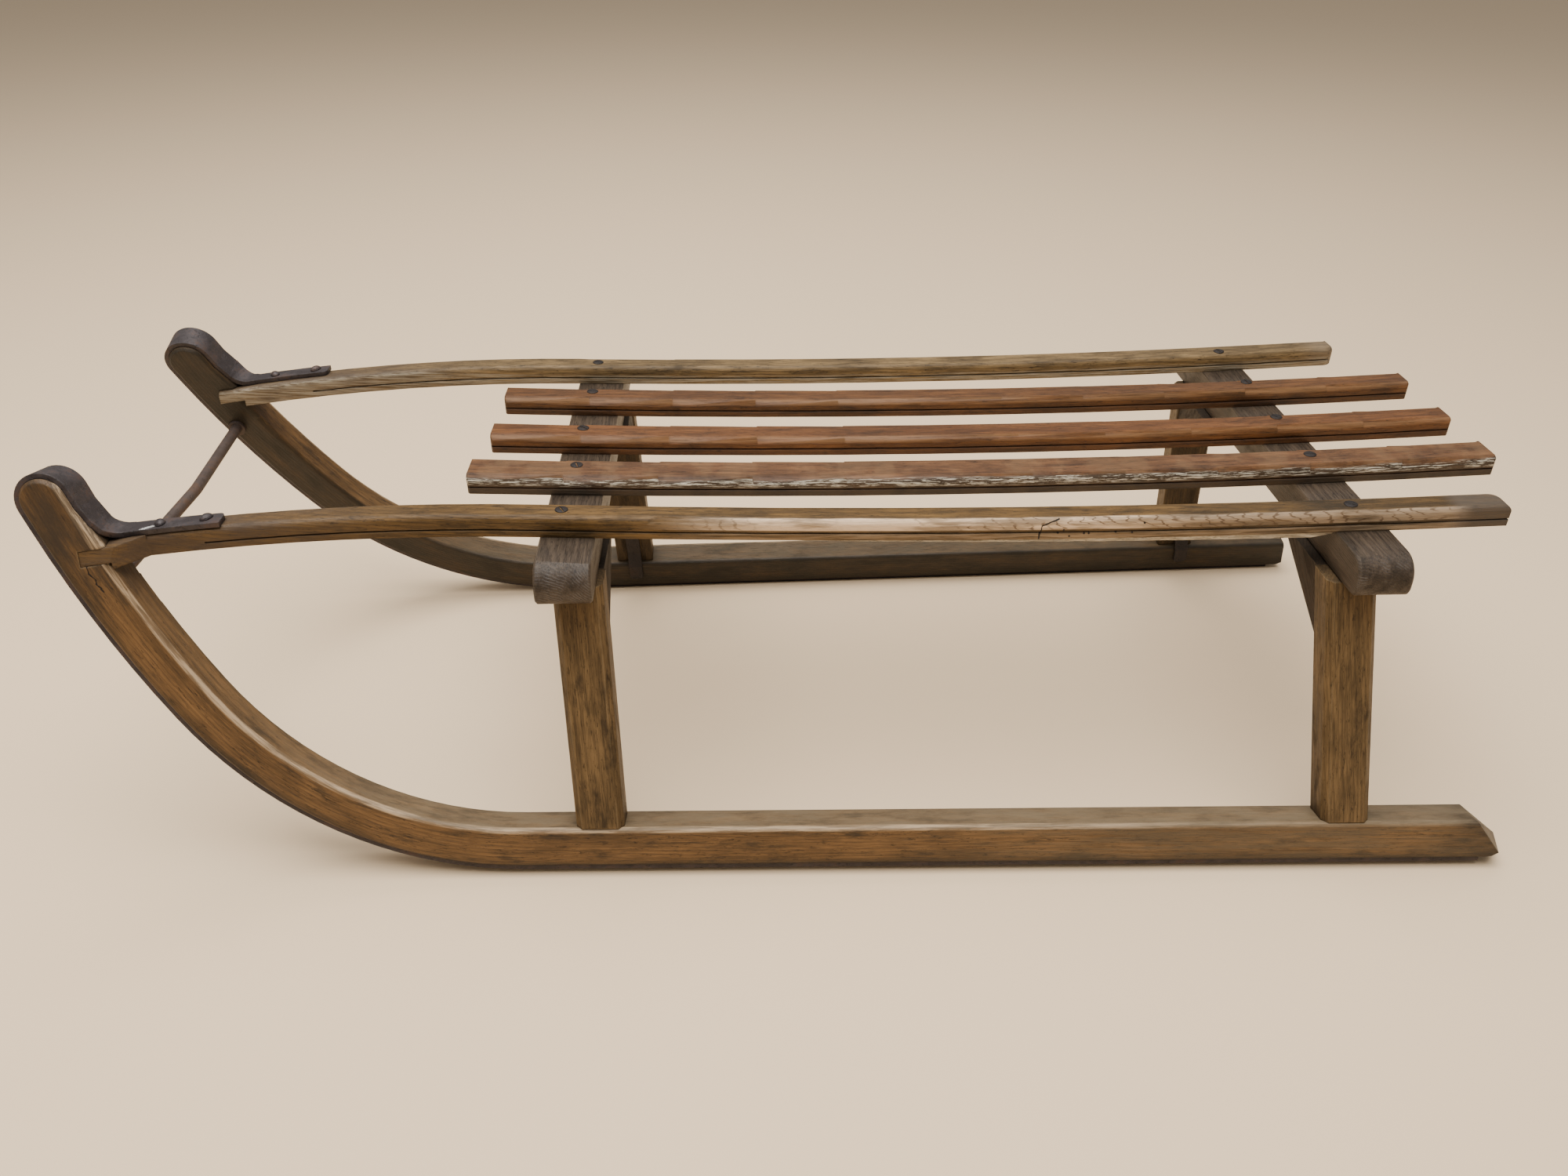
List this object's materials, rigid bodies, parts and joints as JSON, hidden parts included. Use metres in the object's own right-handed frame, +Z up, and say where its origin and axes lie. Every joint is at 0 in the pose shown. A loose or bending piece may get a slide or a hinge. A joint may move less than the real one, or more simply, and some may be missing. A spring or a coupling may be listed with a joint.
{
  "type": "wooden slatted sled",
  "caption": "Hand-drawn wooden sled with bent, iron-shod runners rising into horns, leaning trestle legs, knees, bolsters, a slatted seat and an iron rope bar.",
  "frame": {"origin": "on the ground at the centre of the sled's footprint: midway between horn tips and runner tails, on the mid plane", "axes": "+X towards the tails (the sled travels towards -X, horns first), +Y to the right-hand runner, +Z up"},
  "size_m": [1.1103, 0.4818, 0.3169],
  "materials": {
    "runner_wood": "worn oiled ash, grimy",
    "rail_wood": "worn olive-brown varnish",
    "slat_wood": "old red-brown varnish, rubbed",
    "leg_wood": "honey-brown, worn arrises",
    "bolster_wood": "weathered grey-brown",
    "knee_wood": "dark, dirty",
    "iron": "forged, dark rust-brown, rubbed bright below"
  },
  "bodies": {
    "root": {"bolster_front": "bolster_wood", "bolster_rear": "bolster_wood", "foot_strip_front_left": "iron", "foot_strip_front_right": "iron", "foot_strip_rear_left": "iron", "foot_strip_rear_right": "iron", "iron_left": "iron", "iron_right": "iron", "knee_front_left": "knee_wood", "knee_front_right": "knee_wood", "knee_rear_left": "knee_wood", "knee_rear_right": "knee_wood", "leg_front_left": "leg_wood", "leg_front_right": "leg_wood", "leg_rear_left": "leg_wood", "leg_rear_right": "leg_wood", "rail_left": "rail_wood", "rail_right": "rail_wood", "rope_bar": "iron", "runner_left": "runner_wood", "runner_right": "runner_wood", "slat_left": "slat_wood", "slat_middle": "slat_wood", "slat_right": "slat_wood"}
  },
  "joints": []
}
